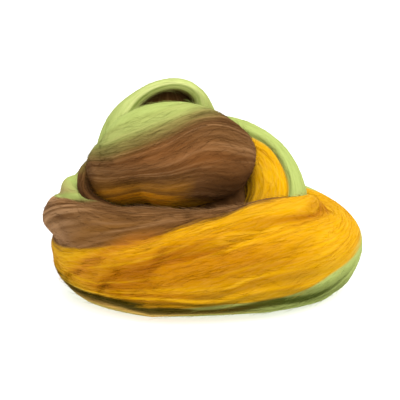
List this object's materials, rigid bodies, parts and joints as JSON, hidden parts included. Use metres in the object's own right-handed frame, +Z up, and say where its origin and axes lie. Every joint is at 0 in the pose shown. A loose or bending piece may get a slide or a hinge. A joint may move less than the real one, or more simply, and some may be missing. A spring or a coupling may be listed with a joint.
{
  "type": "wool roving bundle",
  "caption": "Soft bundle of unspun wool roving in green, brown and yellow, wound into a ring with a knot and a small loop on top.",
  "frame": {"origin": "on the surface the bundle lies on, under the middle of its box", "axes": "+Z up, -Y towards the front with the wrapped knot, +X to the right seen from the front"},
  "size_m": [0.1892, 0.1546, 0.1227],
  "materials": {
    "wool": "soft combed wool, matt with a faint silky sheen along the fibres"
  },
  "bodies": {
    "root": {"roving": "wool"}
  },
  "joints": []
}
